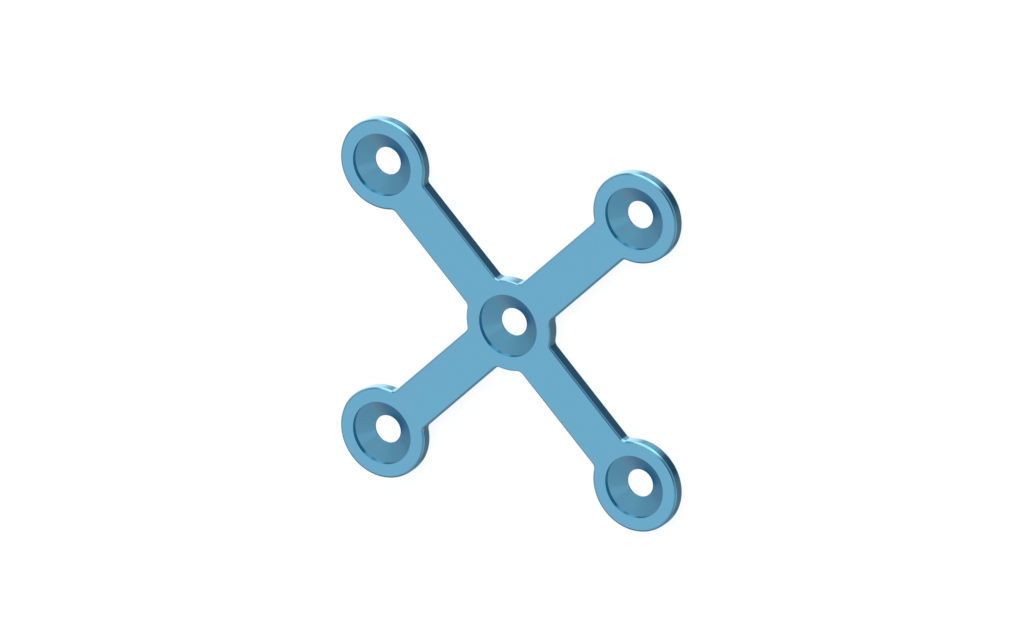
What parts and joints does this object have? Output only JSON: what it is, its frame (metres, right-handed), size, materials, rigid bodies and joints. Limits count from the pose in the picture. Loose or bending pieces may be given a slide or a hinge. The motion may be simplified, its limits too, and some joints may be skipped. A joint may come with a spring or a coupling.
{
  "type": "bone plate",
  "caption": "Thin flat X-shaped plate with straight arms, round heads and countersunk screw holes, screwed onto bone to hold fragments together.",
  "frame": {"origin": "on the axis of the centre screw hole, in the plane of the bone side", "axes": "+Z out of the plate away from the bone, out of the countersinks; the arms run along the diagonals of +X and +Y"},
  "size_m": [0.028, 0.028, 0.001],
  "materials": {
    "anodised_titanium": "titanium, anodised light blue, smooth satin"
  },
  "bodies": {
    "root": {"bone_plate": "anodised_titanium"}
  },
  "joints": []
}
